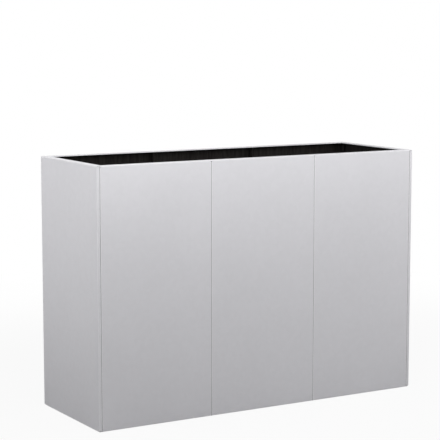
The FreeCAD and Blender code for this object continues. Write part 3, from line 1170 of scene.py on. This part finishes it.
    def build(self, material: bpy.types.Material) -> None:
        """Makes the bolts and the weld nuts of the seam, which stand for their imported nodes.

        Args:
            material: The finish of the fasteners.
        """
        way = self.seam.way
        head, tip = self.span(self.bolts_node)
        weld, top = self.span(self.nuts_node)
        bars = [self.bar_under(level) for _, level in self.axes()]
        length = abs(tip - head) - self.head_height - max(bars)
        bolts, nuts = [], []
        for (middle, level), bar in zip(self.axes(), bars):
            axis = np.array((0.0, middle, level))
            seat = head + way * (self.head_height + max(bars) - bar)
            bolt = self.bolt(seat, length)
            nut = self.nut(weld, abs(top - weld))
            bolts.append((bolt.points() + axis, bolt.faces()))
            nuts.append((nut.points() + axis, nut.faces()))
        for label, node, forms in (
            ("hexagon_bolts", self.bolts_node, bolts),
            ("weld_nuts", self.nuts_node, nuts),
        ):
            piece = mesh_object(f"{label}_{self.face}_{self.seam.word}", forms)
            piece.data.materials.append(material)
            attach(piece, BODY)
            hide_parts(node)
        log.info(
            "%s seam %s: %d bolts %.0f mm long and their weld nuts",
            self.face,
            self.seam.word,
            len(bolts),
            length / MILLIMETRE,
        )


# Studio

@dataclass(frozen=True)
class Floor:
    """Plain pale floor that looks white from afar, keeps the soft shadow, and is open from below."""

    shell: Shell
    half_size: float = 30.0
    drop: float = 0.2 * MILLIMETRE
    colour: Colour = (0.52, 0.52, 0.52)
    # Painted shade of the ground under the planter.
    covered_shade_colour: Colour = (0.06, 0.06, 0.06)
    cloud_contrast: float = 0.01
    clouds_per_metre: float = 0.7
    near_share: float = 0.92
    white_reach: tuple[float, float] = (0.9, 2.6)
    mirrored_share: float = 0.35
    mirrored_reach: tuple[float, float] = (0.45, 2.4)
    covered_border: float = 5.0 * MILLIMETRE

    def build(self) -> None:
        """Makes the floor, which isn't part of the object."""
        signs = ((-1, -1), (1, -1), (1, 1), (-1, 1))
        corners = [(x * self.half_size, y * self.half_size, -self.drop) for x, y in signs]
        mesh = bpy.data.meshes.new("studio_floor")
        mesh.from_pydata(corners, [], [(0, 1, 2, 3)])
        floor = linked_object("studio_floor", mesh)
        mesh.materials.append(self.material())
        log.info("floor laid")

    def material(self) -> bpy.types.Material:
        """Builds the floor's material.

        It is pale and diffuse, and white to the camera and in reflections, less so near the planter: the
        share of white grows with the distance from the frame's origin. Where the planter covers it, the
        camera sees no white and the floor takes a dark painted shade, so that the drain holes look dark.

        Returns:
            The finished material.
        """
        made, bench = blank_material("pale_floor")
        made.node_tree.nodes.remove(made.node_tree.nodes["Principled BSDF"])
        place = bench.add("TexCoord").outputs["Object"]
        length = bench.add("VectorMath", operation="LENGTH")
        bench.feed(length.inputs[0], place)
        covered = bench.ramp(self.shell.measure(bench, place)["Depth"], 0.0, self.covered_border)
        clouds = bench.noise(place, self.clouds_per_metre)
        pale = bench.shade(self.colour, bench.tone(clouds, self.cloud_contrast))
        diffuse = bench.add("BsdfDiffuse")
        # Painted shade: where the planter covers it, the floor turns dark.
        bench.feed(diffuse.inputs["Color"], bench.blend(covered, pale, self.covered_shade_colour))
        away = length.outputs["Value"]
        path = bench.add("LightPath").outputs
        in_view = bench.math("MULTIPLY", path["Is Camera Ray"], bench.math("SUBTRACT", 1.0, covered))
        white_seen = bench.ramp(away, *self.white_reach, self.near_share, 1.0)
        white_mirrored = bench.ramp(away, *self.mirrored_reach, self.mirrored_share, 1.0)
        whiteness = bench.math(
            "MAXIMUM",
            bench.math("MULTIPLY", in_view, white_seen),
            bench.math("MULTIPLY", mirrored_rays(bench, path), white_mirrored),
        )
        white = bench.add("Emission").outputs["Emission"]
        from_above = bench.mix_shaders(whiteness, diffuse.outputs["BSDF"], white)
        from_below = bench.add("BsdfTransparent").outputs["BSDF"]
        back = bench.add("NewGeometry").outputs["Backfacing"]
        surface = bench.mix_shaders(back, from_above, from_below)
        bench.feed(made.node_tree.nodes["Material Output"].inputs["Surface"], surface)
        return made


def mirrored_rays(bench: Bench, path: bpy.types.NodeOutputs) -> bpy.types.NodeSocket:
    """Tells rays that show the studio in a shiny or clear surface from those that carry light.

    Args:
        bench: The bench of a material or of the world.
        path: The outputs of its Light Path node.

    Returns:
        A socket that is 1 for a ray that shows the studio, and else 0.
    """
    return bench.math("MAXIMUM", path["Is Glossy Ray"], path["Is Transmission Ray"])


@dataclass(frozen=True)
class Surroundings:
    """White background that is seen and mirrored, and gives no other light."""

    white: Colour = (1.0, 1.0, 1.0)

    def build(self) -> None:
        """Sets up the world and the view."""
        world = bpy.data.worlds.new("studio")
        bpy.context.scene.world = world
        world.use_nodes = True
        bench = Bench(world.node_tree)
        unlit = world.node_tree.nodes["Background"]
        bench.feed(unlit.inputs["Strength"], 0.0)
        shown = bench.add("Background")
        bench.feed(shown.inputs["Color"], self.white)
        path = bench.add("LightPath").outputs
        seen = bench.math("MAXIMUM", path["Is Camera Ray"], mirrored_rays(bench, path))
        surface = bench.mix_shaders(seen, unlit.outputs["Background"], shown.outputs["Background"])
        bench.feed(world.node_tree.nodes["World Output"].inputs["Surface"], surface)
        bpy.context.scene.view_settings.view_transform = "Standard"
        log.info("surroundings set")


@dataclass(frozen=True)
class SoftBox:
    """Rectangular studio lamp that points at a spot on the planter."""

    name: str
    place: Place
    aim: Place
    width: float
    depth: float
    power: float

    def build(self) -> None:
        """Hangs the lamp."""
        lamp = bpy.data.lights.new(self.name, "AREA")
        lamp.shape = "RECTANGLE"
        lamp.size = self.width
        lamp.size_y = self.depth
        lamp.energy = self.power
        hung = linked_object(self.name, lamp)
        hung.location = self.place
        hung.rotation_euler = (Vector(self.aim) - Vector(self.place)).to_track_quat("-Z", "Y").to_euler()
        log.info("%s hung", self.name)


@dataclass(frozen=True)
class Viewpoint:
    """The photograph's view: where the camera stands and how it is turned and tilted, with no roll.

    A camera that isn't turned looks straight down, so it is raised by a right angle to look level.
    """

    place: Place = (-2.5502, -4.2306, 1.2162)
    turned_right: float = 30.666
    tilted_down: float = 7.323
    level: float = 90.0
    lens: float = 125.419
    sensor: float = 36.0

    def build(self) -> None:
        """Sets up the camera."""
        camera = bpy.data.cameras.new("viewpoint")
        camera.lens = self.lens
        camera.sensor_width = self.sensor
        stand = linked_object("viewpoint", camera)
        stand.location = self.place
        raised = math.radians(self.level - self.tilted_down)
        stand.rotation_euler = (raised, 0.0, math.radians(-self.turned_right))
        bpy.context.scene.camera = stand
        log.info("camera placed")


STUDIO_LAMPS = (
    SoftBox("front_box", place=(0.2, -1.05, 1.25), aim=(0.38, -0.2, 0.5), width=4.0, depth=1.3, power=28.0),
    SoftBox("back_box", place=(0.2, 2.2, 0.7), aim=(0.2, 0.2, 0.4), width=2.4, depth=1.2, power=20.0),
    SoftBox("left_box", place=(-1.75, 0.3, 1.28), aim=(-0.58, 0.0, 0.5), width=1.0, depth=0.6, power=12.3),
    SoftBox("right_box", place=(1.75, -0.3, 1.28), aim=(0.58, 0.0, 0.5), width=1.0, depth=0.6, power=12.3),
    SoftBox("overhead", place=(0.0, 0.0, 2.4), aim=(0.0, 0.0, 0.4), width=2.6, depth=1.2, power=8.0),
)


def main() -> None:
    """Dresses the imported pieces, makes the fasteners and sets up the studio."""
    logging.basicConfig(level=logging.INFO, format="%(name)s: %(message)s")
    shell = Shell.from_frame()
    # The sheet's inside takes a near-black painted shade.
    sheet = GalvanisedFinish("satin_galvanised_sheet", inside_shade=PaintedInsideShade())
    tray = GalvanisedFinish(
        "galvanised_tray_sheet", roughness=0.46, patch_contrast=0.06, cell_contrast=0.025
    )
    bar = GalvanisedFinish("galvanised_flat_bar", roughness=0.44, patch_contrast=0.05, cells_per_metre=140.0)
    CarriedPieces("panels", END_PANELS + LONG_PANELS, Slot.SHEET).dress(sheet.material(shell))
    CarriedPieces("floor trays", TRAYS, Slot.TRAY).dress(tray.material(shell))
    CarriedPieces("tie bars", TIE_BARS, Slot.BAR).dress(bar.material(shell))
    plated = ZincPlateFinish("zinc_plated_steel").material()
    thread = Thread()
    for face in FACES:
        for seam in Seam:
            SeamFasteners(face, seam, thread).build(plated)
    Floor(shell).build()
    Surroundings().build()
    for lamp in STUDIO_LAMPS:
        lamp.build()
    Viewpoint().build()


if __name__ == "__main__":
    main()
